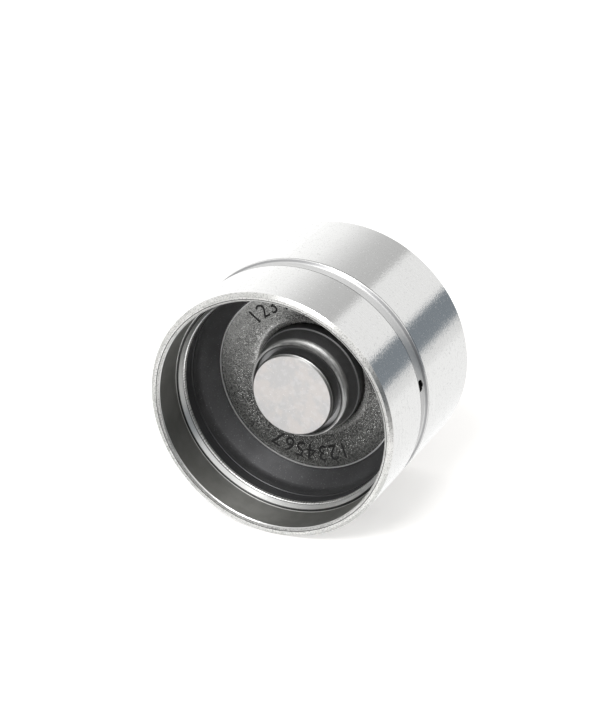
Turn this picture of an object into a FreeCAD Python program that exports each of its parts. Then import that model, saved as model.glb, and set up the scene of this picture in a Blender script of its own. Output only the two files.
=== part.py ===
import FreeCAD, Part
import math
import os

import Sketcher

# Hydraulic valve lifter of the bucket kind. It stands on its crown with the mouth up.
# Origin: centre of the crown's outer face. +Z is the axis, towards the mouth. Millimetres.

SIZES = [
    # bucket shell
    ("shell_radius", 17.5, "outer radius of the skirt"),
    ("total_height", 26.0, "crown face to mouth rim"),
    ("crown_thickness", 3.0, "crown, cam face to inner face"),
    ("crown_chamfer", 0.4, "edge between cam face and skirt"),
    ("rim_chamfer", 0.4, "outer edge of the mouth rim"),
    ("rim_inner_chamfer", 0.35, "inner edge of the mouth rim"),
    ("mouth_wall", 1.25, "wall of the skirt round the mouth"),
    ("ledge_drop", 5.05, "rim to the ledge at the foot of the mouth bore"),
    ("ledge_width", 0.3, "ledge, mouth bore to the bore that holds the web's flange"),
    ("edge_break", 0.06, "broken edge on both sides of the web's joint line"),
    ("shoulder_width", 0.35, "shoulder between that bore and the oil reservoir under the web"),
    ("reservoir_fillet", 1.5, "round between reservoir and crown"),
    ("groove_drop", 10.85, "rim to the middle of the oil groove"),
    ("groove_width", 2.5, "oil groove at the skirt's surface"),
    ("groove_floor_width", 1.4, "oil groove at its floor"),
    ("groove_depth", 0.45, "oil groove, skirt to floor"),
    ("groove_fillet", 0.2, "round at the groove's floor"),
    ("oil_hole_radius", 0.8, "hole from the groove to the reservoir"),
    ("slot_length", 14.0, "oil slot in the crown under the plunger"),
    ("slot_width", 2.4, "oil slot, across"),
    ("slot_depth", 0.5, "oil slot, into the crown"),
    # guide web
    ("joint_gap", 0.02, "clearance of each fixed joint"),
    ("web_thickness", 0.7, "sheet of the web"),
    ("bend_drop", 9.17, "rim to the corner where flange and funnel would meet"),
    ("web_bend_radius", 2.5, "inner radius of the bend from flange to funnel"),
    ("web_step_drop", 7.9, "rim to the small step inside the flange"),
    ("web_step", 0.08, "height of that step"),
    ("taper_width", 0.41, "turned mouth of the flange, first taper, across"),
    ("taper_height", 0.56, "turned mouth of the flange, first taper, along the axis"),
    ("line_depth", 0.07, "fine turned line between the two tapers"),
    ("band_width", 0.07, "second taper, across"),
    ("band_height", 0.5, "second taper, along the axis"),
    ("funnel_width", 2.33, "flange's bore to the funnel's inner lip, across"),
    ("lip_drop", 12.02, "rim to the top of the lip"),
    ("lip_width", 0.15, "land on top of the lip"),
    ("trough_width", 0.1, "trough outside the lip, and its slope"),
    ("trough_depth", 0.13, "trough below the lip"),
    # guide sleeve
    ("lip_height", 0.33, "lip above the hub's face"),
    ("hub_dish", 0.85, "hub's face falls this much towards its hole"),
    ("hub_overlap", 0.6, "hub's flange under the web's lip"),
    ("hub_flange_thickness", 1.1, "hub's flange under the lip"),
    ("hub_thickness", 1.7, "hub beside the sleeve"),
    ("countersink_width", 0.44, "funnel at the mouth of the guide bore, across"),
    ("countersink_depth", 0.6, "funnel at the mouth of the guide bore, along the axis"),
    ("countersink_round", 0.9, "round from the hub's face into that funnel"),
    ("sleeve_wall", 1.5, "wall of the sleeve"),
    ("sleeve_fillet", 1.0, "round between sleeve and hub"),
    ("sleeve_chamfer", 0.25, "edges of the sleeve's end"),
    ("guide_clearance", 0.02, "running fit of the cylinder in the sleeve"),
    # pressure cylinder
    ("cylinder_radius", 7.5, "guided outside of the cylinder"),
    ("pad_drop", 6.9, "rim to the valve stem pad, fully extended"),
    ("pad_chamfer", 0.2, "edge of the pad"),
    ("edge_line", 0.07, "fine turned line under the pad's edge, deep and wide"),
    ("boss_land", 0.75, "land round the pad"),
    ("boss_step", 0.06, "step below that land"),
    ("collar_step", 0.7, "guided outside to the collar's outside"),
    ("collar_wall", 0.42, "wall of the collar"),
    ("collar_round", 0.3, "round on the collar's outer edge"),
    ("collar_break", 0.06, "broken inner edge of the collar"),
    ("collar_drop", 1.7, "pad to the top of the collar"),
    ("collar_height", 1.8, "outside of the collar, along the axis"),
    ("collar_groove", 1.0, "face groove between boss and collar, deep"),
    ("collar_groove_width", 0.58, "face groove between boss and collar, across"),
    ("neck_undercut", 0.25, "undercut below the collar"),
    ("neck_height", 1.7, "collar to the cylinder's edge"),
    ("cylinder_chamfer", 0.12, "upper edge of the cylinder"),
    ("cylinder_wall", 2.0, "guided outside to the plunger's outside"),
    ("floor_clearance", 0.345, "cage's top to the floor of the bore at the end of the stroke"),
    ("end_chamfer", 0.3, "edges of the cylinder's open end"),
    ("travel", 2.4, "stroke of the cylinder towards the crown"),
    ("end_clearance", 0.3, "cylinder's end above the crown at the end of the stroke"),
    # retaining ring
    ("ring_offset", 0.65, "cylinder's end to the ring's groove"),
    ("ring_thickness", 0.8, "ring, along the axis"),
    ("ring_depth", 0.5, "ring, inside the cylinder's outside"),
    ("ring_reach", 0.7, "ring, outside the cylinder's outside"),
    ("ring_clearance", 0.02, "ring in its groove, each side"),
    ("ring_gap_angle", 24.0, "split in the ring, degrees"),
    ("stop_gap", 0.03, "ring to the sleeve's end, fully extended"),
    # plunger
    ("plunger_clearance", 0.015, "running fit of the plunger in the cylinder"),
    ("plunger_length", 7.0, "crown to the plunger's rim"),
    ("plunger_wall", 1.5, "wall round the plunger's oil chamber"),
    ("plunger_rim", 0.55, "rim round the plunger's end recess"),
    ("plunger_chamfer", 0.25, "outer edges of the plunger"),
    ("recess_depth", 0.6, "end recess that holds the cage"),
    ("valve_wall", 2.2, "wall with the valve hole"),
    ("seat_inset", 0.04, "line where the ball seats to the valve hole's edge, across"),
    ("seat_width", 0.55, "conical valve seat, across"),
    # check valve
    ("ball_radius", 1.4, "check ball"),
    ("ball_gap", 0.005, "ball to its seat at rest"),
    ("valve_lift", 0.3, "ball's travel"),
    ("ball_spring_room", 0.72, "room for the ball's spring when the ball is lifted"),
    ("cage_thickness", 0.35, "sheet of the cage"),
    ("cage_side_gap", 0.2, "ball to the cage's wall"),
    ("cage_flange_gap", 0.05, "cage's flange in the recess"),
    ("cage_bend", 0.5, "outer round of the cage's top"),
    ("cage_vent_radius", 0.45, "hole in the cage's top"),
    ("window_width", 1.1, "oil windows in the cage's wall"),
    ("window_height", 1.5, "oil windows, along the axis"),
    ("window_count", 4, "oil windows round the cage"),
    ("ball_spring_wire", 0.09, "ball spring, wire radius"),
    ("ball_spring_radius", 0.72, "ball spring, mean radius"),
    ("ball_spring_turns", 3.0, "ball spring, turns"),
    # return spring
    ("return_spring_wire", 0.4, "return spring, wire radius"),
    ("return_spring_inset", 1.2, "plunger's outside to the middle of the return spring's wire"),
    ("return_spring_turns", 3.25, "return spring, turns"),
]


class Length:
    """A number kept together with the expression that the document binds in its place."""

    def __init__(self, number, text):
        self.number = number
        self.text = text

    def __add__(self, other):
        other = length(other)
        return Length(self.number + other.number, f"({self.text} + {other.text})")

    def __sub__(self, other):
        other = length(other)
        return Length(self.number - other.number, f"({self.text} - {other.text})")

    def __mul__(self, other):
        other = length(other)
        return Length(self.number * other.number, f"({self.text} * {other.text})")

    def __truediv__(self, other):
        other = length(other)
        return Length(self.number / other.number, f"({self.text} / {other.text})")

    def __neg__(self):
        return Length(-self.number, f"(-{self.text})")


def length(value):
    """A plain number as a Length, so that both can stand in one sum."""
    if isinstance(value, Length):
        return value
    return Length(float(value), str(value))


def root(value):
    return Length(math.sqrt(value.number), f"sqrt({value.text})")


doc = FreeCAD.newDocument("valve_lifter")


class Sheet:
    """The spreadsheet of driving sizes; each one is also an attribute of this object."""

    def __init__(self, rows):
        self.sheet = doc.addObject("Spreadsheet::Sheet", "Sizes")
        for row, (alias, number, meaning) in enumerate(rows, start=1):
            self.sheet.set(f"A{row}", meaning)
            self.sheet.set(f"B{row}", str(number))
            self.sheet.setAlias(f"B{row}", alias)
            setattr(self, alias, Length(float(number), f"Sizes.{alias}"))
        doc.recompute()


S = Sheet(SIZES)

# Heights and radii that more than one piece meets.

ledge_z = S.total_height - S.ledge_drop
groove_z = S.total_height - S.groove_drop

mouth_radius = S.shell_radius - S.mouth_wall
seat_radius = mouth_radius - S.ledge_width
reservoir_radius = seat_radius - S.shoulder_width

flange_radius = seat_radius - S.joint_gap
flange_bore = flange_radius - S.web_thickness
outer_bend = S.web_bend_radius + S.web_thickness
lip_radius = flange_bore - S.funnel_width
lip_z = S.total_height - S.lip_drop
lip_under_z = lip_z - S.web_thickness
trough_z = lip_z - S.trough_depth
trough_radius = lip_radius + S.lip_width + S.trough_width * 2

# The funnel's slope from the axis, and the slope of half that angle.
bend_z = S.total_height - S.bend_drop
cone_slope = (flange_bore - trough_radius) / (bend_z - trough_z)
half_slope = (root(cone_slope * cone_slope + 1) - 1) / cone_slope
outer_bend_z = bend_z - S.web_thickness * half_slope

# The web's outer bend rests on the shell's shoulder where the bend reaches the reservoir's bore.
bend_centre_radius = flange_radius - outer_bend
bend_centre_z = outer_bend_z + outer_bend * half_slope
shoulder_reach = reservoir_radius - bend_centre_radius
shoulder_z = bend_centre_z - root(outer_bend * outer_bend - shoulder_reach * shoulder_reach) - S.joint_gap

hub_radius = lip_radius - S.joint_gap
hub_face_z = lip_z - S.lip_height
hub_hole_z = hub_face_z - S.hub_dish
hub_rabbet_z = lip_under_z - S.joint_gap
guide_radius = S.cylinder_radius + S.guide_clearance
sleeve_radius = guide_radius + S.sleeve_wall

pad_z = S.total_height - S.pad_drop
collar_radius = S.cylinder_radius - S.collar_step
boss_radius = collar_radius - S.collar_wall - S.collar_groove_width
pad_radius = boss_radius - S.pad_chamfer
collar_z = pad_z - S.collar_drop
collar_base_z = collar_z - S.collar_height
cylinder_top_z = collar_base_z - S.neck_height
cylinder_end_z = S.crown_thickness + S.travel + S.end_clearance
plunger_radius = S.cylinder_radius - S.cylinder_wall
cylinder_bore = plunger_radius + S.plunger_clearance

ring_groove_z = cylinder_end_z + S.ring_offset
ring_z = ring_groove_z + S.ring_clearance
ring_top_z = ring_z + S.ring_thickness
ring_inner_radius = S.cylinder_radius - S.ring_depth
ring_outer_radius = S.cylinder_radius + S.ring_reach
sleeve_end_z = ring_top_z + S.stop_gap

plunger_rim_z = S.crown_thickness + S.plunger_length
recess_z = plunger_rim_z - S.recess_depth
recess_radius = plunger_radius - S.plunger_rim
chamber_radius = plunger_radius - S.plunger_wall
chamber_z = recess_z - S.valve_wall

# On a 45 degree seat the ball touches at its radius over the square root of two, and its centre
# is the square root of two radii above the cone's point.
valve_hole_radius = S.ball_radius / root(length(2)) - S.seat_inset
valve_seat_radius = valve_hole_radius + S.seat_width
valve_seat_z = recess_z - S.seat_width
ball_z = valve_seat_z - valve_hole_radius + S.ball_radius * root(length(2)) + S.ball_gap
cage_inner_radius = S.ball_radius + S.cage_side_gap
cage_outer_radius = cage_inner_radius + S.cage_thickness
cage_roof_z = ball_z + S.ball_radius + S.valve_lift + S.ball_spring_room
cage_top_z = cage_roof_z + S.cage_thickness
cage_flange_radius = recess_radius - S.cage_flange_gap
cage_flange_z = recess_z + S.cage_thickness
cylinder_floor_z = cage_top_z + S.travel + S.floor_clearance


def origin_plane(body, role):
    return next(f for f in body.Origin.OriginFeatures if f.Role == role)


def origin_axis(body):
    return next(f for f in body.Origin.OriginFeatures if f.Role == "Z_Axis")


def new_body(label):
    body = doc.addObject("PartDesign::Body", label)
    body.Label = label
    return body


def new_sketch(body, name, role="XZ_Plane", lift=None):
    """A sketch on one of the body's own planes, lifted along its normal where a height is given."""
    sketch = body.newObject("Sketcher::SketchObject", name)
    sketch.AttachmentSupport = [(origin_plane(body, role), "")]
    sketch.MapMode = "FlatFace"
    if lift is not None:
        sketch.AttachmentOffset = FreeCAD.Placement(FreeCAD.Vector(0, 0, lift.number), FreeCAD.Rotation())
        sketch.setExpression("AttachmentOffset.Base.z", lift.text)
    return sketch


def hold(sketch, geometry, point, across, up):
    """Holds one point of the sketch at its distances from the sketch's origin."""
    for kind, axis, value, word in (("DistanceX", -2, across, "across"), ("DistanceY", -1, up, "up")):
        value = length(value)
        if value.number == 0:
            sketch.addConstraint(Sketcher.Constraint("PointOnObject", geometry, point, axis))
            continue
        index = sketch.addConstraint(Sketcher.Constraint(kind, -1, 1, geometry, point, value.number))
        sketch.renameConstraint(index, f"{word}_{geometry}_{point}")
        sketch.setExpression(f"Constraints.{word}_{geometry}_{point}", value.text)


def closed_outline(sketch, corners):
    """Straight edges through the corners, each corner held from the sketch's origin."""
    points = [FreeCAD.Vector(length(x).number, length(y).number, 0) for x, y in corners]
    count = len(points)
    edges = [Part.LineSegment(points[i], points[(i + 1) % count]) for i in range(count)]
    sketch.addGeometry(edges)
    for i in range(count):
        sketch.addConstraint(Sketcher.Constraint("Coincident", i, 2, (i + 1) % count, 1))
    for i, (x, y) in enumerate(corners):
        hold(sketch, i, 1, x, y)


def turned(body, name, corners):
    """Revolves an outline of (radius, height) corners round the lifter's axis."""
    sketch = new_sketch(body, name + "_outline")
    closed_outline(sketch, corners)
    feature = body.newObject("PartDesign::Revolution", name)
    feature.Profile = sketch
    feature.ReferenceAxis = (sketch, ["V_Axis"])
    feature.Angle = 360
    sketch.Visibility = False
    doc.recompute()
    return feature


def ring_edges(shape, places):
    """Names of the full circles at the given (radius, height) places."""
    names = []
    for radius, height in places:
        for number, edge in enumerate(shape.Edges, start=1):
            if not isinstance(edge.Curve, Part.Circle):
                continue
            same_size = abs(edge.Curve.Radius - radius.number) < 1e-4
            if same_size and abs(edge.Curve.Center.z - height.number) < 1e-4:
                names.append(f"Edge{number}")
    return names


def rounded(body, name, radius, places):
    """Fillets the circular edges at the given places."""
    base = body.Tip
    fillet = body.newObject("PartDesign::Fillet", name)
    fillet.Base = (base, ring_edges(base.Shape, places))
    fillet.Radius = radius.number
    fillet.setExpression("Radius", radius.text)
    doc.recompute()
    return fillet


def cut_along(body, name, sketch, depth, backwards=False):
    """Pockets the sketch to a depth and makes sure that the cut took something away."""
    before = body.Shape.Volume
    pocket = body.newObject("PartDesign::Pocket", name)
    pocket.Profile = sketch
    pocket.Length = depth.number
    pocket.setExpression("Length", depth.text)
    pocket.Reversed = backwards
    sketch.Visibility = False
    doc.recompute()
    if body.Shape.Volume >= before:
        raise ValueError(f"{name} cuts nothing")
    return pocket


def make_bucket_shell():
    """Crown and skirt in one piece, with the seat of the web, the oil groove and the oil ways."""
    body = new_body("bucket_shell")
    turned(body, "bucket", [
        (0, 0),
        (S.shell_radius - S.crown_chamfer, 0),
        (S.shell_radius, S.crown_chamfer),
        (S.shell_radius, S.total_height - S.rim_chamfer),
        (S.shell_radius - S.rim_chamfer, S.total_height),
        (mouth_radius + S.rim_inner_chamfer, S.total_height),
        (mouth_radius, S.total_height - S.rim_inner_chamfer),
        (mouth_radius, ledge_z),
        (seat_radius + S.edge_break, ledge_z),
        (seat_radius, ledge_z - S.edge_break),
        (seat_radius, shoulder_z),
        (reservoir_radius, shoulder_z),
        (reservoir_radius, S.crown_thickness),
        (0, S.crown_thickness),
    ])
    rounded(body, "reservoir_round", S.reservoir_fillet, [(reservoir_radius, S.crown_thickness)])

    floor_radius = S.shell_radius - S.groove_depth
    outline = new_sketch(body, "oil_groove_outline")
    closed_outline(outline, [
        (floor_radius, groove_z - S.groove_floor_width / 2),
        (S.shell_radius, groove_z - S.groove_width / 2),
        (S.shell_radius + S.groove_depth, groove_z - S.groove_width / 2),
        (S.shell_radius + S.groove_depth, groove_z + S.groove_width / 2),
        (S.shell_radius, groove_z + S.groove_width / 2),
        (floor_radius, groove_z + S.groove_floor_width / 2),
    ])
    before = body.Shape.Volume
    groove = body.newObject("PartDesign::Groove", "oil_groove")
    groove.Profile = outline
    groove.ReferenceAxis = (outline, ["V_Axis"])
    groove.Angle = 360
    doc.recompute()
    if body.Shape.Volume >= before:
        raise ValueError("oil_groove cuts nothing")
    rounded(body, "oil_groove_round", S.groove_fillet, [
        (floor_radius, groove_z - S.groove_floor_width / 2),
        (floor_radius, groove_z + S.groove_floor_width / 2),
    ])

    # The oil hole runs from the axis plane out through the -Y side of the skirt.
    hole = new_sketch(body, "oil_hole_outline")
    hole.addGeometry(Part.Circle(FreeCAD.Vector(0, groove_z.number, 0), FreeCAD.Vector(0, 0, 1),
                                 S.oil_hole_radius.number))
    hold(hole, 0, 3, 0, groove_z)
    index = hole.addConstraint(Sketcher.Constraint("Radius", 0, S.oil_hole_radius.number))
    hole.renameConstraint(index, "hole_radius")
    hole.setExpression("Constraints.hole_radius", S.oil_hole_radius.text)
    cut_along(body, "oil_hole", hole, S.shell_radius + 1, backwards=True)

    # The slot in the crown lets oil pass under the plunger's foot.
    slot = new_sketch(body, "oil_slot_outline", "XY_Plane", S.crown_thickness)
    half_long = S.slot_length / 2
    half_wide = S.slot_width / 2
    closed_outline(slot, [
        (-half_long, -half_wide),
        (half_long, -half_wide),
        (half_long, half_wide),
        (-half_long, half_wide),
    ])
    cut_along(body, "oil_slot", slot, S.slot_depth)
    return body


def make_guide_web():
    """Sheet funnel: flange in the shell's seat, bend, cone and inner lip."""
    body = new_body("guide_web")
    taper_radius = flange_radius - S.edge_break - S.taper_width
    taper_z = ledge_z - S.taper_height
    line_z = taper_z - S.line_depth
    band_z = line_z - S.line_depth
    step_z = S.total_height - S.web_step_drop
    cone_foot = flange_radius - (outer_bend_z - lip_under_z) * cone_slope
    turned(body, "funnel", [
        (flange_radius, ledge_z - S.edge_break),
        (flange_radius - S.edge_break, ledge_z),
        (taper_radius, taper_z),
        (taper_radius + S.line_depth, line_z),
        (taper_radius, band_z),
        (taper_radius - S.band_width, band_z - S.band_height),
        (flange_bore + S.web_step, band_z - S.band_height),
        (flange_bore + S.web_step, step_z),
        (flange_bore, step_z - S.web_step),
        (flange_bore, bend_z),
        (trough_radius, trough_z),
        (lip_radius + S.lip_width + S.trough_width, trough_z),
        (lip_radius + S.lip_width, lip_z),
        (lip_radius, lip_z),
        (lip_radius, lip_under_z),
        (cone_foot, lip_under_z),
        (flange_radius, outer_bend_z),
    ])
    rounded(body, "inner_bend", S.web_bend_radius, [(flange_bore, bend_z)])
    rounded(body, "outer_bend", outer_bend, [(flange_radius, outer_bend_z)])
    return body


def make_guide_sleeve():
    """Hub with its dished face under the web's lip, and the sleeve that guides the cylinder."""
    body = new_body("guide_sleeve")
    flange_under_z = hub_rabbet_z - S.hub_flange_thickness
    hub_under_z = hub_hole_z - S.hub_thickness
    turned(body, "hub", [
        (guide_radius + S.countersink_width, hub_hole_z),
        (guide_radius, hub_hole_z - S.countersink_depth),
        (guide_radius, sleeve_end_z + S.sleeve_chamfer),
        (guide_radius + S.sleeve_chamfer, sleeve_end_z),
        (sleeve_radius - S.sleeve_chamfer, sleeve_end_z),
        (sleeve_radius, sleeve_end_z + S.sleeve_chamfer),
        (sleeve_radius, hub_under_z),
        (lip_radius + S.hub_overlap, flange_under_z),
        (lip_radius + S.hub_overlap, hub_rabbet_z),
        (hub_radius, hub_rabbet_z),
        (hub_radius, hub_face_z),
    ])
    rounded(body, "sleeve_round", S.sleeve_fillet, [(sleeve_radius, hub_under_z)])
    rounded(body, "mouth_round", S.countersink_round, [(guide_radius + S.countersink_width, hub_hole_z)])
    return body


def make_pressure_cylinder():
    """Closed cylinder: ground pad, boss, collar, neck, guided outside, ring groove and bore."""
    body = new_body("pressure_cylinder")
    boss_low_radius = boss_radius - S.boss_step
    line_z = pad_z - S.pad_chamfer - S.edge_line
    land_z = pad_z - S.pad_chamfer - S.boss_land
    collar_inner = collar_radius - S.collar_wall
    collar_floor_z = collar_z - S.collar_groove
    ring_seat = ring_inner_radius - S.ring_clearance
    ring_groove_top = ring_top_z + S.ring_clearance
    turned(body, "cylinder", [
        (0, pad_z),
        (pad_radius, pad_z),
        (boss_radius, pad_z - S.pad_chamfer),
        (boss_radius, line_z),
        (boss_radius - S.edge_line, line_z),
        (boss_radius - S.edge_line, line_z - S.edge_line),
        (boss_radius, line_z - S.edge_line * 2),
        (boss_radius, land_z),
        (boss_low_radius, land_z - S.boss_step),
        (boss_low_radius, collar_floor_z),
        (collar_inner, collar_floor_z),
        (collar_inner, collar_z - S.collar_break),
        (collar_inner + S.collar_break, collar_z),
        (collar_radius, collar_z),
        (collar_radius, collar_base_z),
        (collar_radius - S.neck_undercut, collar_base_z - S.neck_undercut / 2),
        (S.cylinder_radius - S.cylinder_chamfer, cylinder_top_z),
        (S.cylinder_radius, cylinder_top_z - S.cylinder_chamfer),
        (S.cylinder_radius, ring_groove_top),
        (ring_seat, ring_groove_top),
        (ring_seat, ring_groove_z),
        (S.cylinder_radius, ring_groove_z),
        (S.cylinder_radius, cylinder_end_z + S.end_chamfer),
        (S.cylinder_radius - S.end_chamfer, cylinder_end_z),
        (cylinder_bore + S.end_chamfer, cylinder_end_z),
        (cylinder_bore, cylinder_end_z + S.end_chamfer),
        (cylinder_bore, cylinder_floor_z),
        (0, cylinder_floor_z),
    ])
    rounded(body, "collar_edge", S.collar_round, [(collar_radius, collar_z)])
    rounded(body, "bore_round", S.end_chamfer, [(cylinder_bore, cylinder_floor_z)])
    return body


def make_retaining_ring():
    """Split ring in the cylinder's groove; its upper side stops against the sleeve's end."""
    body = new_body("retaining_ring")
    feature = turned(body, "ring", [
        (ring_inner_radius, ring_z),
        (ring_outer_radius, ring_z),
        (ring_outer_radius, ring_top_z),
        (ring_inner_radius, ring_top_z),
    ])
    feature.setExpression("Angle", f"360 - {S.ring_gap_angle.text}")
    doc.recompute()
    return body


def make_plunger():
    """Hollow piston that stands on the crown, with the valve hole, its seat and the cage's recess."""
    body = new_body("plunger")
    turned(body, "piston", [
        (chamber_radius, S.crown_thickness),
        (plunger_radius - S.plunger_chamfer, S.crown_thickness),
        (plunger_radius, S.crown_thickness + S.plunger_chamfer),
        (plunger_radius, plunger_rim_z - S.plunger_chamfer),
        (plunger_radius - S.plunger_chamfer, plunger_rim_z),
        (recess_radius, plunger_rim_z),
        (recess_radius, recess_z),
        (valve_seat_radius, recess_z),
        (valve_hole_radius, valve_seat_z),
        (valve_hole_radius, chamber_z),
        (chamber_radius, chamber_z),
    ])
    rounded(body, "chamber_round", S.sleeve_fillet, [(chamber_radius, chamber_z)])
    return body


def make_check_ball():
    """Ball of the check valve, on its conical seat."""
    ball = doc.addObject("Part::Sphere", "check_ball")
    ball.Label = "check_ball"
    ball.setExpression("Radius", S.ball_radius.text)
    ball.setExpression("Placement.Base.z", ball_z.text)
    doc.recompute()
    return ball


def make_ball_cage():
    """Pressed cap over the ball: flange in the plunger's recess, wall with oil windows, vented top."""
    body = new_body("ball_cage")
    turned(body, "cap", [
        (cage_inner_radius, recess_z),
        (cage_flange_radius, recess_z),
        (cage_flange_radius, cage_flange_z),
        (cage_outer_radius, cage_flange_z),
        (cage_outer_radius, cage_top_z),
        (S.cage_vent_radius, cage_top_z),
        (S.cage_vent_radius, cage_roof_z),
        (cage_inner_radius, cage_roof_z),
    ])
    rounded(body, "cap_round", S.cage_bend, [(cage_outer_radius, cage_top_z)])

    window_z = cage_flange_z + S.cage_thickness
    window = new_sketch(body, "window_outline")
    half_wide = S.window_width / 2
    closed_outline(window, [
        (-half_wide, window_z),
        (half_wide, window_z),
        (half_wide, window_z + S.window_height),
        (-half_wide, window_z + S.window_height),
    ])
    first = cut_along(body, "window", window, cage_flange_radius, backwards=True)
    pattern = body.newObject("PartDesign::PolarPattern", "windows")
    pattern.Originals = [first]
    pattern.Axis = (origin_axis(body), [""])
    pattern.Angle = 360
    pattern.Occurrences = int(S.window_count.number)
    pattern.setExpression("Occurrences", S.window_count.text)
    body.Tip = pattern
    doc.recompute()
    return body


def make_spring(label, radius, wire, low_z, high_z, turns):
    """Coil spring between two heights, with its ends ground flat."""
    first_z = low_z + wire / 2
    rise = high_z - low_z - wire
    path = doc.addObject("Part::Helix", label + "_path")
    path.SegmentLength = 0
    path.setExpression("Radius", radius.text)
    path.setExpression("Height", rise.text)
    path.setExpression("Pitch", (rise / turns).text)
    path.setExpression("Placement.Base.z", first_z.text)

    section = doc.addObject("Part::Circle", label + "_wire")
    section.Placement = FreeCAD.Placement(FreeCAD.Vector(0, 0, 0),
                                          FreeCAD.Rotation(FreeCAD.Vector(1, 0, 0), 90))
    section.setExpression("Radius", wire.text)
    section.setExpression("Placement.Base.x", radius.text)
    section.setExpression("Placement.Base.z", first_z.text)

    coil = doc.addObject("Part::Sweep", label + "_coil")
    coil.Sections = [section]
    coil.Spine = (path, ["Edge1"])
    coil.Solid = True
    coil.Frenet = True

    # The room's seam is turned away from the wire's first section, which lies on the X axis.
    room = doc.addObject("Part::Cylinder", label + "_room")
    room.Placement = FreeCAD.Placement(FreeCAD.Vector(0, 0, 0),
                                       FreeCAD.Rotation(FreeCAD.Vector(0, 0, 1), 135))
    room.setExpression("Radius", (radius + wire * 2).text)
    room.setExpression("Height", (high_z - low_z).text)
    room.setExpression("Placement.Base.z", low_z.text)

    spring = doc.addObject("Part::Common", label)
    spring.Label = label
    spring.Base = coil
    spring.Tool = room
    doc.recompute()
    return spring


def make_ball_spring():
    """Small spring from the ball's shoulder to the cage's roof."""
    reach = root(S.ball_radius * S.ball_radius - S.ball_spring_radius * S.ball_spring_radius)
    low_z = ball_z + reach + S.ball_spring_wire
    return make_spring("ball_spring", S.ball_spring_radius, S.ball_spring_wire,
                       low_z, cage_roof_z - S.joint_gap, S.ball_spring_turns)


def make_return_spring():
    """Spring from the cage's flange to the floor of the cylinder's bore."""
    return make_spring("return_spring", plunger_radius - S.return_spring_inset, S.return_spring_wire,
                       cage_flange_z + S.joint_gap, cylinder_floor_z - S.joint_gap,
                       S.return_spring_turns)


pieces = [
    make_bucket_shell(),
    make_guide_web(),
    make_guide_sleeve(),
    make_pressure_cylinder(),
    make_retaining_ring(),
    make_plunger(),
    make_check_ball(),
    make_ball_cage(),
    make_ball_spring(),
    make_return_spring(),
]
doc.recompute()

for item in doc.Objects:
    if "Invalid" in item.State or "Error" in item.State:
        raise ValueError(f"{item.Label} did not compute: {item.State}")

os.makedirs("parts", exist_ok=True)
for piece in pieces:
    if piece.Shape.isNull() or not piece.Shape.isValid() or len(piece.Shape.Solids) != 1:
        raise ValueError(f"{piece.Label} is not one valid solid")
    piece.Shape.exportStep(f"parts/{piece.Label}.step")
    print(piece.Label, round(piece.Shape.Volume, 3))
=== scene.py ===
import math

import bmesh
import bpy
from mathutils import Matrix, Vector


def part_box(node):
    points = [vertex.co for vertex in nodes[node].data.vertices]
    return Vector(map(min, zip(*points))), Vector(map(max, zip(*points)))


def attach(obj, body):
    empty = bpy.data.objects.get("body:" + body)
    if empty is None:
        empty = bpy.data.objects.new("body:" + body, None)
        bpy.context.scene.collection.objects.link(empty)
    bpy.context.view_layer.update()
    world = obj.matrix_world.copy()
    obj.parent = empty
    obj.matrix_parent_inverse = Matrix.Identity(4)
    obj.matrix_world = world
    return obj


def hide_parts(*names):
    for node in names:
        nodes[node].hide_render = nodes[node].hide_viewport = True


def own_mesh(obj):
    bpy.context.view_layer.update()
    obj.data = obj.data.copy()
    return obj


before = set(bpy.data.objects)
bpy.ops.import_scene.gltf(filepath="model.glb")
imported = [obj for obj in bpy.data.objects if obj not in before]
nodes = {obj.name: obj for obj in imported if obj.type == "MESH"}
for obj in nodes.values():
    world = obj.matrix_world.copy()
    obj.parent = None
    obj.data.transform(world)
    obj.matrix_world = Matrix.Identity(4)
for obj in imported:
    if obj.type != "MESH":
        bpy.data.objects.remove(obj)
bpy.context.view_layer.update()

MM = 0.001

# Places on the lifter in millimetres: radii, and heights above the crown's outer face.

SKIRT_RADIUS = 17.5
RIM_HEIGHT = 26.0
MOUTH_RADIUS = 16.25
LEDGE_HEIGHT = 20.95
GROOVE_LOW = 13.9
GROOVE_HIGH = 16.4
OIL_HOLE_HEIGHT = 15.15

# The web is turned bright above the first of these heights and opens wider above the second.
WEB_TURNED_HEIGHT = 19.74
WEB_TAPER_HEIGHT = 20.35
WEB_STEP_HEIGHT = 18.1
WEB_LIP_RADIUS = 13.05
WEB_LIP_HEIGHT = 13.98

HUB_RADIUS = 12.88
HUB_HEIGHT = 13.65
BORE_MOUTH_RADIUS = 7.96
BORE_MOUTH_HEIGHT = 12.8
GUIDE_RADIUS = 7.5

PAD_HEIGHT = 19.1
PAD_RADIUS = 5.6
COLLAR_LOW = 15.6
COLLAR_HIGH = 17.4
COLLAR_INSIDE = 6.38
CYLINDER_EDGE_HEIGHT = 13.9

# The camera stands close to the lifter's axis and looks into the mouth. The lifter lies on its
# skirt, so the floor touches the skirt's side and up is square to the axis. The rim's centre is
# given as the camera sees it: to the right, down and forward.

TILT = math.radians(35.3)
ROLL = math.radians(-43.62)
TURN = math.radians(-51.2)
RIM_CENTRE_SEEN = Vector((-3.995, 7.20, 418.3)) * MM
FOCAL_PIXELS = 3200.0
LONG_SIDE_PIXELS = 724.0
SENSOR = 36.0

axis = Vector((0, 0, 1))
toward = Vector((math.cos(TURN), math.sin(TURN), 0))
beside = Vector((math.sin(TURN), -math.cos(TURN), 0))
leaning = toward * math.cos(TILT) - axis * math.sin(TILT)
right = leaning * math.cos(ROLL) - beside * math.sin(ROLL)
down = leaning * math.sin(ROLL) + beside * math.cos(ROLL)
forward = -axis * math.cos(TILT) - toward * math.sin(TILT)

room_up = right.cross(axis).normalized()
if room_up.dot(down) > 0:
    room_up = -room_up

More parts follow.
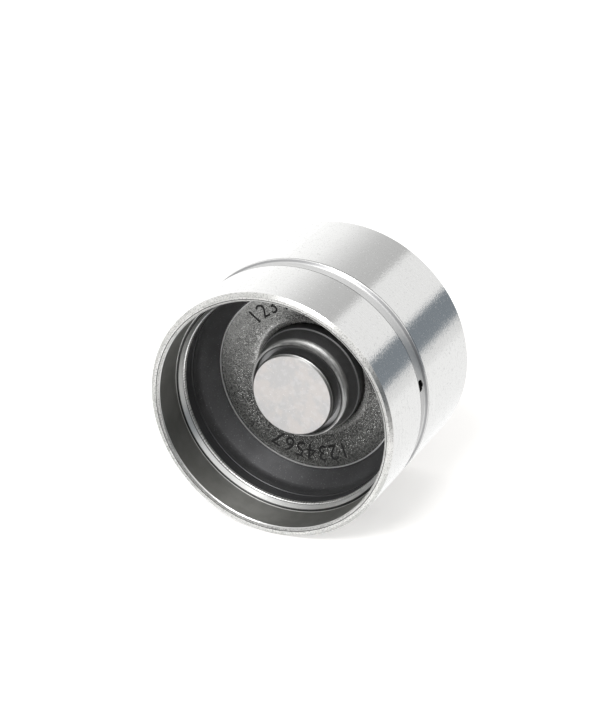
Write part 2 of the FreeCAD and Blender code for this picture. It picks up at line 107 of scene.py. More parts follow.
NUMERALS = "1234567"
NUMERAL_SIZE = 3.0
NUMERAL_SPACING = 1.1
NUMERAL_LIFT = 0.012


def make_camera():
    data = bpy.data.cameras.new("lifter_camera")
    data.sensor_width = SENSOR
    data.lens = FOCAL_PIXELS / LONG_SIDE_PIXELS * SENSOR
    data.clip_start = 0.01
    data.clip_end = 10
    camera = bpy.data.objects.new("lifter_camera", data)
    bpy.context.scene.collection.objects.link(camera)
    seen = right * RIM_CENTRE_SEEN.x + down * RIM_CENTRE_SEEN.y + forward * RIM_CENTRE_SEEN.z
    place = axis * (RIM_HEIGHT * MM) - seen
    turn = Matrix((right, -down, -forward)).transposed().to_4x4()
    camera.matrix_world = Matrix.Translation(place) @ turn
    bpy.context.scene.camera = camera


def put(tree, socket, value):
    if isinstance(value, bpy.types.NodeSocket):
        tree.links.new(value, socket)
    else:
        socket.default_value = value


def add(tree, kind, settings=None, inputs=None):
    """A new node with its settings, and its inputs given as numbers or as other nodes' outputs."""
    made = tree.nodes.new(kind)
    for name, value in (settings or {}).items():
        setattr(made, name, value)
    for name, value in (inputs or {}).items():
        put(tree, made.inputs[name], value)
    return made


def calc(tree, operation, first, second=0.0):
    return add(tree, "ShaderNodeMath", {"operation": operation}, {0: first, 1: second}).outputs[0]


def rise(tree, value, low, high):
    """0 below low, 1 above high, and smooth between; a high below low turns it round."""
    settings = {"interpolation_type": "SMOOTHSTEP"}
    if low < high:
        ends = {"From Min": low, "From Max": high, "To Min": 0.0, "To Max": 1.0}
    else:
        ends = {"From Min": high, "From Max": low, "To Min": 1.0, "To Max": 0.0}
    return add(tree, "ShaderNodeMapRange", settings, {"Value": value, **ends}).outputs[0]


def mix(tree, kind, factor, first, second):
    """A blend from first to second, of colours (RGBA), numbers (FLOAT) or normals (VECTOR)."""
    sockets = {"RGBA": (6, 7, 2), "FLOAT": (2, 3, 0), "VECTOR": (4, 5, 1)}
    under, over, result = sockets[kind]
    made = add(tree, "ShaderNodeMix", {"data_type": kind}, {0: factor, under: first, over: second})
    return made.outputs[result]


def ramp(tree, value, stops, blue=1.0):
    """A grey through the stops, each a place from 0 to 1 and a brightness; blue tints the dark ones."""
    made = tree.nodes.new("ShaderNodeValToRGB")
    elements = made.color_ramp.elements
    while len(elements) > 1:
        elements.remove(elements[-1])
    for number, (place, bright) in enumerate(stops):
        element = elements[0] if number == 0 else elements.new(place)
        element.position = place
        tint = blue if bright < 0.3 else 1.0
        element.color = (bright, bright * (1 + tint) / 2, bright * tint, 1)
    put(tree, made.inputs[0], value)
    return made.outputs[0]


def noise(tree, vector, scale, detail):
    inputs = {"Vector": vector, "Scale": scale, "Detail": detail, "Roughness": 0.6}
    return add(tree, "ShaderNodeTexNoise", None, inputs).outputs[0]


def tone(level, blue=None):
    """A grey; a lower blue makes it warmer and a higher one colder."""
    return (level, level, level if blue is None else blue, 1.0)


def start_group(name, inputs, outputs, kind="NodeSocketFloat"):
    """An empty shader node group with named sockets."""
    group = bpy.data.node_groups.new(name, "ShaderNodeTree")
    for label, default in inputs:
        socket = group.interface.new_socket(label, in_out="INPUT", socket_type="NodeSocketFloat")
        socket.default_value = default
    for label in outputs:
        group.interface.new_socket(label, in_out="OUTPUT", socket_type=kind)
    return group, group.nodes.new("NodeGroupInput").outputs, group.nodes.new("NodeGroupOutput").inputs


def make_place_group():
    """Radius from the lifter's axis and height above the crown in millimetres, and turns round it."""
    group, _, out = start_group("lifter_place", [], ["Radius", "Height", "Angle"])
    where = add(group, "ShaderNodeTexCoord").outputs["Object"]
    x, y, z = add(group, "ShaderNodeSeparateXYZ", None, {0: where}).outputs
    squares = calc(group, "ADD", calc(group, "MULTIPLY", x, x), calc(group, "MULTIPLY", y, y))
    radius = calc(group, "MULTIPLY", calc(group, "SQRT", squares), 1 / MM)
    put(group, out["Radius"], radius)
    put(group, out["Height"], calc(group, "MULTIPLY", z, 1 / MM))
    put(group, out["Angle"], calc(group, "ARCTAN2", y, x))
    return group


def make_marks_group():
    """Fine rings that a tool leaves on a turned or ground face, each a little broken along its way."""
    group, given, out = start_group("turning_marks", [
        ("Radius", 0.0), ("Height", 0.0), ("Angle", 0.0), ("Per Millimetre", 20.0), ("Breaks", 1.5),
    ], ["Marks"])
    x = calc(group, "MULTIPLY", calc(group, "COSINE", given["Angle"]), given["Breaks"])
    y = calc(group, "MULTIPLY", calc(group, "SINE", given["Angle"]), given["Breaks"])
    along = calc(group, "ADD", given["Radius"], given["Height"])
    z = calc(group, "MULTIPLY", along, given["Per Millimetre"])
    vector = add(group, "ShaderNodeCombineXYZ", None, {0: x, 1: y, 2: z}).outputs[0]
    put(group, out["Marks"], noise(group, vector, 1.0, 4.0))
    return group


def make_grain_group():
    """Grain of a blasted, phosphated or worn face."""
    group, given, out = start_group("steel_grain", [("Per Millimetre", 8.0), ("Detail", 3.0)], ["Grain"])
    where = add(group, "ShaderNodeTexCoord").outputs["Object"]
    scale = calc(group, "MULTIPLY", given["Per Millimetre"], 1 / MM)
    put(group, out["Grain"], noise(group, where, scale, given["Detail"]))
    return group


def make_rolled_group():
    """Normal of an edge rolled round the lifter's axis; the lean is up from level, in radians."""
    group, given, out = start_group("rolled_edge", [("Angle", 0.0), ("Lean", 0.0)], ["Normal"],
                                    "NodeSocketVector")
    level = calc(group, "COSINE", given["Lean"])
    x = calc(group, "MULTIPLY", level, calc(group, "COSINE", given["Angle"]))
    y = calc(group, "MULTIPLY", level, calc(group, "SINE", given["Angle"]))
    z = calc(group, "SINE", given["Lean"])
    vector = add(group, "ShaderNodeCombineXYZ", None, {0: x, 1: y, 2: z}).outputs[0]
    ways = {"vector_type": "NORMAL", "convert_from": "OBJECT", "convert_to": "WORLD"}
    put(group, out["Normal"], add(group, "ShaderNodeVectorTransform", ways, {0: vector}).outputs[0])
    return group


PLACE = make_place_group()
MARKS = make_marks_group()
GRAIN = make_grain_group()
ROLLED = make_rolled_group()


class Finish:
    """A steel finish in the making: its node tree, the place on the lifter, and its shader."""

    def __init__(self, name, anisotropic=0.0, rotation=0.0):
        self.material = bpy.data.materials.new(name)
        self.material.use_nodes = True
        self.tree = self.material.node_tree
        self.tree.nodes.clear()
        output = self.tree.nodes.new("ShaderNodeOutputMaterial")
        self.shader = self.tree.nodes.new("ShaderNodeBsdfPrincipled")
        self.tree.links.new(self.shader.outputs[0], output.inputs["Surface"])
        self.radius, self.height, self.angle = self.group(PLACE).outputs
        if anisotropic:
            self.shader.inputs["Anisotropic"].default_value = anisotropic
            self.shader.inputs["Anisotropic Rotation"].default_value = rotation
            tangent = add(self.tree, "ShaderNodeTangent", {"direction_type": "RADIAL", "axis": "Z"})
            self.tree.links.new(tangent.outputs[0], self.shader.inputs["Tangent"])

    def group(self, node_tree, inputs=None):
        return add(self.tree, "ShaderNodeGroup", {"node_tree": node_tree}, inputs)

    def marks(self, per_mm, breaks):
        return self.group(MARKS, {
            "Radius": self.radius, "Height": self.height, "Angle": self.angle,
            "Per Millimetre": per_mm, "Breaks": breaks,
        }).outputs[0]

    def grain(self, per_mm, detail=3.0):
        return self.group(GRAIN, {"Per Millimetre": per_mm, "Detail": detail}).outputs[0]

    def rise(self, value, low, high):
        return rise(self.tree, value, low, high)

    def band(self, value, low, high, soft):
        """1 between low and high, with soft edges outside them."""
        return self.both(self.rise(value, low - soft, low), self.rise(value, high + soft, high))

    def both(self, first, second):
        """Where two masks meet, or a mask or a relief made weaker by a number."""
        return calc(self.tree, "MULTIPLY", first, second)

    def plus(self, first, second):
        return calc(self.tree, "ADD", first, second)

    def tint(self, mask, under, over):
        return mix(self.tree, "RGBA", mask, under, over)

    def level(self, mask, under, over):
        return mix(self.tree, "FLOAT", mask, under, over)

    def coats(self, colour, layers):
        """The colour with the layers on it in turn, each a mask and a colour."""
        for mask, over in layers:
            colour = self.tint(mask, colour, over)
        return colour

    def rolled(self, mask, lean):
        """The surface's own normal, and inside the mask that of a rolled edge."""
        turned = self.group(ROLLED, {"Angle": self.angle, "Lean": lean}).outputs[0]
        own = add(self.tree, "ShaderNodeNewGeometry").outputs["Normal"]
        return mix(self.tree, "VECTOR", mask, own, turned)

    def close(self, colour, roughness, metallic, relief, depth_mm, normal=None):
        """Joins the finish's colour, roughness, metal and relief to its shader."""
        put(self.tree, self.shader.inputs["Base Color"], colour)
        put(self.tree, self.shader.inputs["Roughness"], roughness)
        put(self.tree, self.shader.inputs["Metallic"], metallic)
        bump = add(self.tree, "ShaderNodeBump", None,
                   {"Height": relief, "Strength": 1.0, "Distance": depth_mm * MM})
        if normal is not None:
            put(self.tree, bump.inputs["Normal"], normal)
        put(self.tree, self.shader.inputs["Normal"], bump.outputs[0])
        return self.material


def make_ground_steel():
    """The shell: ground skirt, duller groove, turned mouth, worn rim, ground crown."""
    steel = Finish("ground_steel", anisotropic=0.8, rotation=0.25)
    fine = steel.marks(34.0, 2.2)
    grain = steel.grain(5.0, 4.0)
    cloud = steel.grain(0.35, 2.0)

    # The skirt, and the oil groove with its two edges; the groove's walls and thin lines along its edges are
    # painted dark as shade.
    peppered = steel.rise(steel.grain(3.0, 4.0), 0.55, 0.7)
    # Bright specks on the skirt's grain are painted glints.
    painted_glints = steel.both(steel.rise(steel.grain(4.0, 4.0), 0.6, 0.7), 0.7)
    groove = steel.both(steel.band(steel.height, GROOVE_LOW - 0.05, GROOVE_HIGH + 0.05, 0.04),
                        steel.rise(steel.radius, SKIRT_RADIUS - 0.02, SKIRT_RADIUS - 0.08))
    # Painted shade: the groove's walls are darker, and a dark line runs along each of its edges.
    groove_wall_shade = steel.both(steel.band(steel.radius, SKIRT_RADIUS - 0.3, SKIRT_RADIUS - 0.12, 0.03),
                        steel.band(steel.height, GROOVE_LOW - 0.2, GROOVE_HIGH + 0.2, 0.03))
    outermost = steel.rise(steel.radius, SKIRT_RADIUS - 0.1, SKIRT_RADIUS - 0.05)
    near_edge_shade = steel.both(steel.band(steel.height, GROOVE_HIGH + 0.02, GROOVE_HIGH + 0.12, 0.02), outermost)
    far_edge_shade = steel.both(steel.band(steel.height, GROOVE_LOW - 0.12, GROOVE_LOW - 0.02, 0.02), outermost)
    skirt = steel.tint(steel.rise(fine, 0.35, 0.7), tone(0.80, 0.79), tone(0.87, 0.86))
    skirt = steel.coats(skirt, [
        (steel.both(peppered, 0.5), tone(0.64, 0.63)),
        (painted_glints, tone(1.0)),
        (groove, tone(0.68, 0.675)),
        (groove_wall_shade, tone(0.42, 0.425)),
        (calc(steel.tree, "MAXIMUM", near_edge_shade, far_edge_shade), tone(0.27, 0.268)),
    ])

    # The mouth's wall, and below it the ledge, the web's hidden seat and the oil hole, whose inside is
    # painted near black as shade.
    inside = steel.rise(steel.radius, MOUTH_RADIUS + 0.5, MOUTH_RADIUS + 0.35)
    within = steel.rise(steel.radius, MOUTH_RADIUS + 0.15, MOUTH_RADIUS + 0.05)
    ledge = steel.both(steel.band(steel.height, LEDGE_HEIGHT - 0.05, LEDGE_HEIGHT + 0.05, 0.01), within)
    hidden = steel.both(steel.rise(steel.height, LEDGE_HEIGHT - 0.05, LEDGE_HEIGHT - 0.15), within)
    # The oil hole's inside is painted near black as shade.
    shaded_oil_hole = steel.both(steel.band(steel.radius, 15.7, SKIRT_RADIUS - 0.52, 0.03),
                          steel.band(steel.height, OIL_HOLE_HEIGHT - 0.85, OIL_HOLE_HEIGHT + 0.85, 0.02))
    wall = steel.tint(steel.rise(cloud, 0.35, 0.65), tone(0.2, 0.188), tone(0.232, 0.219))
    wall = steel.tint(steel.both(steel.rise(grain, 0.55, 0.8), 0.4), wall, tone(0.30, 0.285))
    joint_line = steel.rise(steel.radius, MOUTH_RADIUS - 0.11, MOUTH_RADIUS - 0.08)

    # The rim: turning lines, worn spots and pits, a fine seam, and the land and chamfer inside it.
    rim = steel.rise(steel.height, RIM_HEIGHT - 0.45, RIM_HEIGHT - 0.35)
    lines = steel.rise(steel.marks(7.0, 2.5), 0.42, 0.62)
    worn = steel.both(steel.rise(steel.grain(1.6, 4.0), 0.5, 0.68), 0.55)
    pits = steel.both(steel.rise(steel.grain(5.0, 4.0), 0.5, 0.62), 0.75)
    outer_edge = steel.both(steel.rise(steel.radius, MOUTH_RADIUS + 0.5, MOUTH_RADIUS + 0.6), 0.3)
    edge = steel.coats(steel.tint(lines, tone(0.70, 0.68), (0.91, 0.90, 0.88, 1)), [
        (worn, tone(0.6, 0.58)),
        (pits, tone(0.3, 0.29)),
        (outer_edge, tone(0.5, 0.48)),
    ])
    seam = steel.both(steel.band(steel.radius, MOUTH_RADIUS + 0.35, MOUTH_RADIUS + 0.43, 0.03),
                      steel.rise(steel.height, RIM_HEIGHT - 0.1, RIM_HEIGHT - 0.05))
    chamfer = steel.both(steel.rise(steel.radius, MOUTH_RADIUS + 0.13, MOUTH_RADIUS + 0.09), rim)
    innermost = steel.rise(steel.radius, MOUTH_RADIUS + 0.06, MOUTH_RADIUS + 0.03)
    land = steel.both(rim, steel.band(steel.radius, MOUTH_RADIUS + 0.13, MOUTH_RADIUS + 0.33, 0.03))
    flat = steel.both(rim, steel.band(steel.radius, MOUTH_RADIUS + 0.13, MOUTH_RADIUS + 0.37, 0.03))

    crown = steel.rise(steel.height, 0.05, 0.01)
    face = steel.tint(steel.rise(cloud, 0.3, 0.75), tone(0.66, 0.65), tone(0.72, 0.71))
    colour = steel.coats(skirt, [
        (inside, wall),
        (rim, edge),
        (seam, tone(0.10)),
        (chamfer, steel.tint(innermost, tone(0.5, 0.49), tone(0.85, 0.84))),
        (steel.both(land, 0.35), tone(0.35, 0.34)),
        (ledge, steel.tint(joint_line, tone(0.07), tone(0.6, 0.59))),
        (hidden, tone(0.12, 0.115)),
        (shaded_oil_hole, tone(0.02)),
        (crown, face),
    ])

    rough = steel.level(fine, 0.07, 0.12)
    rough = steel.level(steel.both(painted_glints, 0.8), steel.level(peppered, rough, 0.3), 0.5)
    rough = steel.level(groove, rough, 0.45)
    rough = steel.level(inside, rough, 0.5)
    rough = steel.level(rim, rough, steel.level(worn, 0.32, 0.6))
    rough = steel.level(crown, rough, 0.3)
    ripple = steel.plus(steel.both(fine, 0.25), steel.both(steel.grain(3.0, 5.0), 2.8))
    relief = steel.level(rim, steel.level(inside, ripple, steel.both(grain, 0.3)), lines)
    return steel.close(colour, rough, 1.0, relief, 0.004, steel.rolled(flat, 0.5 * math.pi))


def make_dark_sheet():
    """The web: dark smooth funnel, with its turned mouth bright and a painted highlight on the lip's edge.
    """
    sheet = Finish("dark_sheet")
    grain = sheet.grain(4.0, 4.0)
    cloud = sheet.grain(0.25, 2.0)
    marks = sheet.marks(9.0, 0.8)

    turned = sheet.rise(sheet.height, WEB_TURNED_HEIGHT - 0.02, WEB_TURNED_HEIGHT + 0.02)
    taper = sheet.rise(sheet.height, WEB_TAPER_HEIGHT - 0.02, WEB_TAPER_HEIGHT + 0.02)
    fine_line = sheet.band(sheet.height, WEB_TAPER_HEIGHT - 0.09, WEB_TAPER_HEIGHT + 0.02, 0.02)
    lower_taper = sheet.both(turned, sheet.rise(sheet.height, WEB_TAPER_HEIGHT - 0.07,
                                                WEB_TAPER_HEIGHT - 0.09))
    joint = sheet.both(sheet.rise(sheet.radius, 15.83, 15.87),
                       sheet.rise(sheet.height, WEB_TAPER_HEIGHT - 0.15, WEB_TAPER_HEIGHT - 0.05))
    # The step's line is painted dark as shade in its crease; the flange above it is darker, partly its
    # unmachined finish and partly painted shade.
    step_shade_line = sheet.both(sheet.band(sheet.height, WEB_STEP_HEIGHT - 0.1, WEB_STEP_HEIGHT + 0.03, 0.02),
                      sheet.rise(sheet.radius, 15.15, 15.2))
    flange = sheet.both(sheet.band(sheet.height, WEB_STEP_HEIGHT + 0.05, WEB_TURNED_HEIGHT - 0.14, 0.05),
                        sheet.rise(sheet.radius, 15.0, 15.1))
    # The lip's edge is painted light as a highlight.
    lip_highlight = sheet.both(sheet.rise(sheet.radius, WEB_LIP_RADIUS + 0.04, WEB_LIP_RADIUS + 0.01),
                     sheet.rise(sheet.height, WEB_LIP_HEIGHT - 0.18, WEB_LIP_HEIGHT - 0.14))

    # A tool's chatter crosses the lower taper in short ticks.
    ticks = calc(sheet.tree, "SINE", sheet.both(sheet.angle, 240.0))
    ticks = sheet.both(sheet.rise(ticks, -0.2, 0.5), sheet.rise(sheet.grain(1.3, 2.0), 0.35, 0.6))
    band = sheet.tint(ticks, tone(0.7, 0.69), tone(0.4, 0.39))
    funnel = sheet.tint(sheet.rise(cloud, 0.35, 0.7), tone(0.104, 0.107), tone(0.13, 0.134))
    colour = sheet.coats(funnel, [
        (sheet.rise(sheet.grain(5.0, 3.0), 0.6, 0.75), tone(0.3, 0.31)),
        (flange, tone(0.09, 0.094)),
        (step_shade_line, tone(0.05, 0.052)),
        (turned, sheet.tint(taper, band, tone(0.68, 0.67))),
        (fine_line, tone(0.12)),
        (lip_highlight, tone(0.75)),
        (joint, tone(0.05)),
    ])

    rough = sheet.level(turned, sheet.level(grain, 0.34, 0.46), sheet.level(marks, 0.22, 0.36))
    relief = sheet.level(turned, grain, marks)
    lean = sheet.rise(sheet.height, WEB_TAPER_HEIGHT - 0.05, WEB_TURNED_HEIGHT - 0.04)
    bead = sheet.rolled(lower_taper, sheet.plus(sheet.both(lean, 1.1), 1.9))
    return sheet.close(colour, rough, sheet.level(turned, 0.85, 1.0), relief, 0.003, bead)


def make_phosphated_hub():
    """The hub: grainy grey face with painted sparkle on its specks, and a painted highlight at its bore
    edge.
    """
    hub = Finish("phosphated_hub")
    grain = hub.grain(5.0, 5.0)
    cloud = hub.grain(0.4, 3.0)
    middle = hub.level(hub.rise(hub.radius, HUB_RADIUS - 0.38, HUB_RADIUS - 2.48), 0.25, 1.0)
    # The bright specks are painted sparkle.
    sparkle_specks = hub.both(hub.rise(hub.grain(7.0, 3.0), 0.53, 0.66), middle)
    # The bore edge is painted light as a highlight.
    bore_edge_highlight = hub.both(hub.rise(hub.radius, BORE_MOUTH_RADIUS + 0.74, BORE_MOUTH_RADIUS - 0.01),
                         hub.rise(hub.height, BORE_MOUTH_HEIGHT - 0.6, BORE_MOUTH_HEIGHT - 0.4))
    guide = hub.both(hub.rise(hub.radius, GUIDE_RADIUS + 0.2, GUIDE_RADIUS + 0.1),
                     hub.rise(hub.height, BORE_MOUTH_HEIGHT - 0.55, BORE_MOUTH_HEIGHT - 0.65))

    colour = hub.tint(hub.rise(grain, 0.35, 0.65), tone(0.046, 0.045), tone(0.25, 0.243))
    colour = hub.coats(colour, [
        (hub.both(hub.rise(cloud, 0.45, 0.75), 0.5), tone(0.2, 0.195)),
        (sparkle_specks, tone(0.82, 0.8)),
        (bore_edge_highlight, hub.tint(sparkle_specks, tone(0.4, 0.39), tone(0.98, 0.96))),
        (guide, tone(0.3)),
    ])

    relief = hub.level(0.4, grain, sparkle_specks)
    smooth = hub.rise(hub.radius, BORE_MOUTH_RADIUS + 1.34, BORE_MOUTH_RADIUS + 0.44)
    relief = hub.level(smooth, relief, hub.both(relief, 0.12))
    metal = hub.level(hub.rise(hub.radius, BORE_MOUTH_RADIUS + 0.94, BORE_MOUTH_RADIUS + 0.34), 0.85, 0.5)
    return hub.close(colour, hub.level(grain, 0.2, 0.34), metal, relief, 0.045)


def make_hardened_steel():
    """The cylinder and plunger: matte ground pad, grainy boss, rough turned collar, dark neck; highlights
    and shade at the pad's edge, the collar's top and the cylinder's edge are painted.
    """
    steel = Finish("hardened_steel")
    grain = steel.grain(7.0, 5.0)
    cloud = steel.grain(0.5, 3.0)
    marks = steel.marks(12.0, 5.0)

    pad = steel.both(steel.rise(steel.height, PAD_HEIGHT - 0.04, PAD_HEIGHT - 0.01),
                     steel.rise(steel.radius, PAD_RADIUS + 0.15, PAD_RADIUS))
    # The pad's rounded edge is painted dark as shade.
    pad_edge_shade = steel.both(steel.band(steel.height, PAD_HEIGHT - 0.2, PAD_HEIGHT - 0.04, 0.02),
                          steel.rise(steel.radius, PAD_RADIUS - 0.05, PAD_RADIUS + 0.02))
    # A thin line below the pad's edge is painted light as a highlight.
    edge_highlight_line = steel.both(steel.band(steel.height, PAD_HEIGHT - 0.44, PAD_HEIGHT - 0.32, 0.02),
                           steel.rise(steel.radius, PAD_RADIUS + 0.1, PAD_RADIUS + 0.14))
    boss = steel.both(steel.band(steel.height, PAD_HEIGHT - 0.95, PAD_HEIGHT - 0.1, 0.04),
                      steel.band(steel.radius, PAD_RADIUS, PAD_RADIUS + 0.3, 0.05))
    collar = steel.both(steel.band(steel.height, COLLAR_LOW + 0.02, COLLAR_HIGH + 0.1, 0.03),
                        steel.rise(steel.radius, COLLAR_INSIDE - 0.02, COLLAR_INSIDE + 0.01))
    collar_side = steel.rise(steel.height, COLLAR_LOW - 0.2, COLLAR_HIGH + 0.2)
    collar_top = steel.rise(steel.radius, COLLAR_INSIDE + 0.47, COLLAR_INSIDE - 0.08)
    guided = steel.rise(steel.height, CYLINDER_EDGE_HEIGHT + 0.02, CYLINDER_EDGE_HEIGHT - 0.02)
    edge_low = CYLINDER_EDGE_HEIGHT - 0.1
    edge_high = CYLINDER_EDGE_HEIGHT + 0.08
    # A thin line on the cylinder's top chamfer is painted light as a highlight.
    cylinder_edge_highlight = steel.both(steel.band(steel.height, edge_low, edge_high, 0.02),
                               steel.rise(steel.radius, GUIDE_RADIUS - 0.2, GUIDE_RADIUS - 0.14))

    ground = steel.tint(steel.rise(cloud, 0.4, 0.6), (0.52, 0.515, 0.515, 1), (0.575, 0.55, 0.535, 1))
    ground = steel.coats(ground, [
        (steel.both(steel.rise(steel.grain(1.3, 5.0), 0.5, 0.62), 0.35), (0.66, 0.65, 0.655, 1)),
        (steel.rise(steel.grain(4.5, 3.0), 0.66, 0.72), tone(0.95)),
        (steel.both(steel.rise(grain, 0.5, 0.7), 0.25), (0.6, 0.57, 0.56, 1)),
    ])
    turned = steel.tint(steel.rise(marks, 0.35, 0.65), tone(0.30, 0.297), tone(0.56, 0.55))
    # The inner side of the collar's top is painted dark as shade towards the groove by the boss.
    turned = steel.tint(collar_top, turned, tone(0.15, 0.148))
    colour = steel.coats(steel.tint(grain, tone(0.24, 0.245), tone(0.42)), [
        (boss, steel.tint(grain, tone(0.12), tone(0.28, 0.27))),
        (collar, turned),
        (guided, tone(0.12)),
        (cylinder_edge_highlight, tone(0.8)),
        (pad, ground),
        (pad_edge_shade, tone(0.26, 0.255)),
        (edge_highlight_line, tone(0.7, 0.69)),
    ])

    rough = steel.level(pad, steel.level(grain, 0.3, 0.45), 0.55)
    rough = steel.level(collar, rough, steel.level(marks, 0.34, 0.46))
    relief = steel.level(collar, steel.both(grain, 0.4), marks)
    lean = steel.plus(steel.both(collar_side, 0.75), steel.both(collar_top, 0.8))
    bead = steel.rolled(collar, steel.plus(lean, 0.6))
    return steel.close(colour, rough, steel.level(pad, 0.95, 0.55), relief, 0.01, bead)


def make_plain_steel(name, low, high, roughness, per_mm=6.0):
    """Steel of one even finish for the springs, ring, cage and ball."""
    steel = Finish(name)
    grain = steel.grain(per_mm, 4.0)
    rough = steel.level(grain, roughness, roughness + 0.12)
    return steel.close(steel.tint(grain, tone(low), tone(high)), rough, 1.0, grain, 0.002)


def make_stamped_dark():
    """Bottom of the stamped numerals, dark with a little grain."""
    dark = Finish("stamped_dark")
    grain = dark.grain(9.0, 3.0)
    return dark.close(dark.tint(grain, tone(0.004), tone(0.02)), 0.8, 0.0, grain, 0.004)


def dress(finishes):
    """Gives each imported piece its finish."""
    for name, material in finishes.items():
        mesh = nodes[name].data
        mesh.materials.clear()
        mesh.materials.append(material)


def add_piece(name, mesh, material):
    """A new piece that moves with the bucket."""
    mesh.materials.clear()
    mesh.materials.append(material)
    made = bpy.data.objects.new(name, mesh)
    bpy.context.scene.collection.objects.link(made)
    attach(made, "bucket")
    return made


def hub_face(radius):
    """Height of the hub's dished face at a radius, in millimetres."""
    share = (radius - BORE_MOUTH_RADIUS) / (HUB_RADIUS - BORE_MOUTH_RADIUS)
    return BORE_MOUTH_HEIGHT + (HUB_HEIGHT - BORE_MOUTH_HEIGHT) * share


def stamped_numerals(name, middle, radius, material):
    """Plain numerals bent round the hub's face; their feet point to the axis at the given turn."""
    text = bpy.data.curves.new(name, "FONT")
    text.body = NUMERALS
    text.size = NUMERAL_SIZE
    text.align_x = "CENTER"
    text.align_y = "CENTER"
    text.space_character = NUMERAL_SPACING
    text.resolution_u = 4
    holder = bpy.data.objects.new(name + "_text", text)
    bpy.context.scene.collection.objects.link(holder)
    bpy.context.view_layer.update()
    shaped = holder.evaluated_get(bpy.context.evaluated_depsgraph_get())
    mesh = bpy.data.meshes.new_from_object(shaped)
    bpy.data.objects.remove(holder)
    mesh.name = name
    for vertex in mesh.vertices:
        reach = radius + vertex.co.y
        turn = middle - vertex.co.x / radius
        height = hub_face(reach) + NUMERAL_LIFT
        vertex.co = Vector((reach * math.cos(turn), reach * math.sin(turn), height)) * MM
    add_piece(name, mesh, material)


def make_coil(node, wire_mm, turns, material):
    """Coil spring with ends ground flat, in its solid's place."""
    low, high = (Vector(corner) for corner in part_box(node))
    wire = wire_mm * MM
    mean = (high.x - low.x) / 2 - wire
    length = high.z - low.z
    steps = round(turns * 40)
    shape = bmesh.new()
    start = Matrix.Translation((mean, 0, low.z + wire / 2)) @ Matrix.Rotation(math.pi / 2, 4, "X")
    bmesh.ops.create_circle(shape, cap_ends=False, segments=16, radius=wire, matrix=start)
    bmesh.ops.spin(shape, geom=shape.verts[:] + shape.edges[:], cent=(0, 0, 0), axis=(0, 0, 1),
                   dvec=(0, 0, (length - wire) / steps), angle=turns * 2 * math.pi, steps=steps)
    bmesh.ops.holes_fill(shape, edges=shape.edges[:])
    for end, way in ((low.z, -1), (high.z, 1)):
        everything = shape.verts[:] + shape.edges[:] + shape.faces[:]
        bmesh.ops.bisect_plane(shape, geom=everything, dist=1e-9, plane_co=(0, 0, end),
                               plane_no=(0, 0, way), clear_outer=True)
        bmesh.ops.holes_fill(shape, edges=shape.edges[:])
    bmesh.ops.recalc_face_normals(shape, faces=shape.faces[:])
    for face in shape.faces:
        face.smooth = len(face.verts) == 4
    mesh = bpy.data.meshes.new(node + "_coil")
    shape.to_mesh(mesh)
    shape.free()

    coil = add_piece(node + "_coil", mesh, material)
    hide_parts(node)
    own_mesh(coil)


def make_floor():
    """White sheet that the lifter lies on; from below and in reflections the studio shows instead."""
    side = room_up.cross(axis).normalized()
    turn = Matrix((axis, side, room_up)).transposed().to_4x4()
    place = Matrix.Translation(-room_up * (SKIRT_RADIUS * MM)) @ turn
    shape = bmesh.new()
    bmesh.ops.create_grid(shape, x_segments=1, y_segments=1, size=3.0, matrix=place)
    mesh = bpy.data.meshes.new("floor")
    shape.to_mesh(mesh)
    shape.free()
    floor = bpy.data.objects.new("floor", mesh)
    bpy.context.scene.collection.objects.link(floor)

    material = bpy.data.materials.new("white_sheet")
    material.use_nodes = True
    tree = material.node_tree
    tree.nodes.clear()
    output = tree.nodes.new("ShaderNodeOutputMaterial")
    paper = add(tree, "ShaderNodeBsdfDiffuse", None, {"Color": (0.93, 0.92, 0.905, 1)})
    glow = add(tree, "ShaderNodeEmission", None, {"Color": (1.0, 0.99, 0.975, 1), "Strength": 0.25})
    sheet = add(tree, "ShaderNodeAddShader", None, {0: paper.outputs[0], 1: glow.outputs[0]})
    clear = tree.nodes.new("ShaderNodeBsdfTransparent")
    behind = add(tree, "ShaderNodeNewGeometry").outputs["Backfacing"]
    reflected = add(tree, "ShaderNodeLightPath").outputs["Is Glossy Ray"]
    unseen = calc(tree, "MAXIMUM", behind, reflected)
    seen = add(tree, "ShaderNodeMixShader", None, {0: unseen, 1: sheet.outputs[0], 2: clear.outputs[0]})
    tree.links.new(seen.outputs[0], output.inputs["Surface"])
    mesh.materials.append(material)


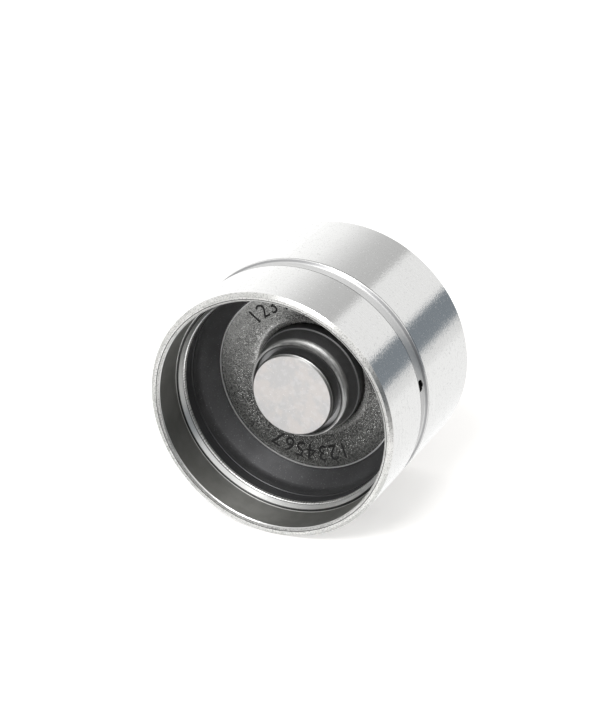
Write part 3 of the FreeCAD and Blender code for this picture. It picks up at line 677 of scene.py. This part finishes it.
def make_studio():
    """Soft light from all round, with a greyer patch and a dark gap in it, and a pale backdrop."""
    world = bpy.data.worlds.new("studio")
    bpy.context.scene.world = world
    world.use_nodes = True
    tree = world.node_tree
    tree.nodes.clear()
    output = tree.nodes.new("ShaderNodeOutputWorld")
    way = add(tree, "ShaderNodeTexCoord").outputs["Generated"]

    def along(direction):
        return add(tree, "ShaderNodeVectorMath", {"operation": "DOT_PRODUCT"},
                   {0: way, 1: direction[:]}).outputs["Value"]

    # Round the axis, as degrees from the side that the camera leans to. The dark gap is bluish.
    turn = calc(tree, "ARCTAN2", along(beside), along(toward))
    share = calc(tree, "ADD", calc(tree, "MULTIPLY", turn, 0.5 / math.pi), 0.5)
    round_axis = ramp(tree, share, [((degrees + 180) / 360, bright) for degrees, bright in [
        (-180, 1.2), (-108, 1.2), (-96, 1.12), (-80, 1.04), (-64, 0.82), (-48, 0.63), (-28, 0.57),
        (-22, 0.57), (-19, 0.92), (25, 0.92), (27, 0.225), (53, 0.235), (55, 0.8), (67, 0.84), (70, 0.99),
        (120, 1.0), (150, 1.08), (180, 1.2),
    ]], 1.24)

    # Before the mouth, by height from straight down to straight up.
    height = calc(tree, "ADD", calc(tree, "MULTIPLY", along(room_up), 0.5), 0.5)
    before_mouth = ramp(tree, height, [((rising + 1) / 2, bright) for rising, bright in [
        (-1, 2.4), (-0.56, 2.4), (-0.47, 1.3), (-0.37, 0.4), (-0.26, 0.13), (0.1, 0.15),
        (0.3, 0.7), (0.5, 1.6), (1, 1.6),
    ]])

    light = mix(tree, "RGBA", rise(tree, along(axis), 0.35, 0.6), round_axis, before_mouth)
    seen = add(tree, "ShaderNodeLightPath").outputs["Is Camera Ray"]
    shown = mix(tree, "RGBA", seen, light, tone(0.8))
    background = add(tree, "ShaderNodeBackground", None, {"Color": shown, "Strength": 1.0})
    tree.links.new(background.outputs[0], output.inputs["Surface"])


def make_front_light():
    """Soft lamp above and in front, which shines down into the mouth."""
    data = bpy.data.lights.new("front_light", "AREA")
    data.shape = "DISK"
    data.size = 0.25
    data.energy = 1.6
    lamp = bpy.data.objects.new("front_light", data)
    bpy.context.scene.collection.objects.link(lamp)
    reach = (room_up * 0.75 + axis * 0.65).normalized()
    lamp.location = axis * (RIM_HEIGHT * MM) + reach * 0.5
    lamp.rotation_mode = "QUATERNION"
    lamp.rotation_quaternion = (-reach).to_track_quat("-Z", "Y")


hardened = make_hardened_steel()
spring_steel = make_plain_steel("spring_steel", 0.22, 0.38, 0.3)
dress({
    "bucket_shell": make_ground_steel(),
    "guide_web": make_dark_sheet(),
    "guide_sleeve": make_phosphated_hub(),
    "pressure_cylinder": hardened,
    "plunger": hardened,
    "retaining_ring": spring_steel,
    "check_ball": make_plain_steel("ball_steel", 0.72, 0.8, 0.08, 2.0),
    "ball_cage": make_plain_steel("pressed_sheet", 0.45, 0.55, 0.28),
})

stamped_dark = make_stamped_dark()
stamped_numerals("lower_numerals", middle=TURN - math.radians(138), radius=10.95, material=stamped_dark)
stamped_numerals("upper_numerals", middle=TURN + math.radians(62), radius=10.9, material=stamped_dark)
make_coil("return_spring", wire_mm=0.4, turns=3.25, material=spring_steel)
make_coil("ball_spring", wire_mm=0.09, turns=3.0, material=spring_steel)

make_floor()
make_studio()
make_front_light()
make_camera()
bpy.context.scene.view_settings.view_transform = "Standard"
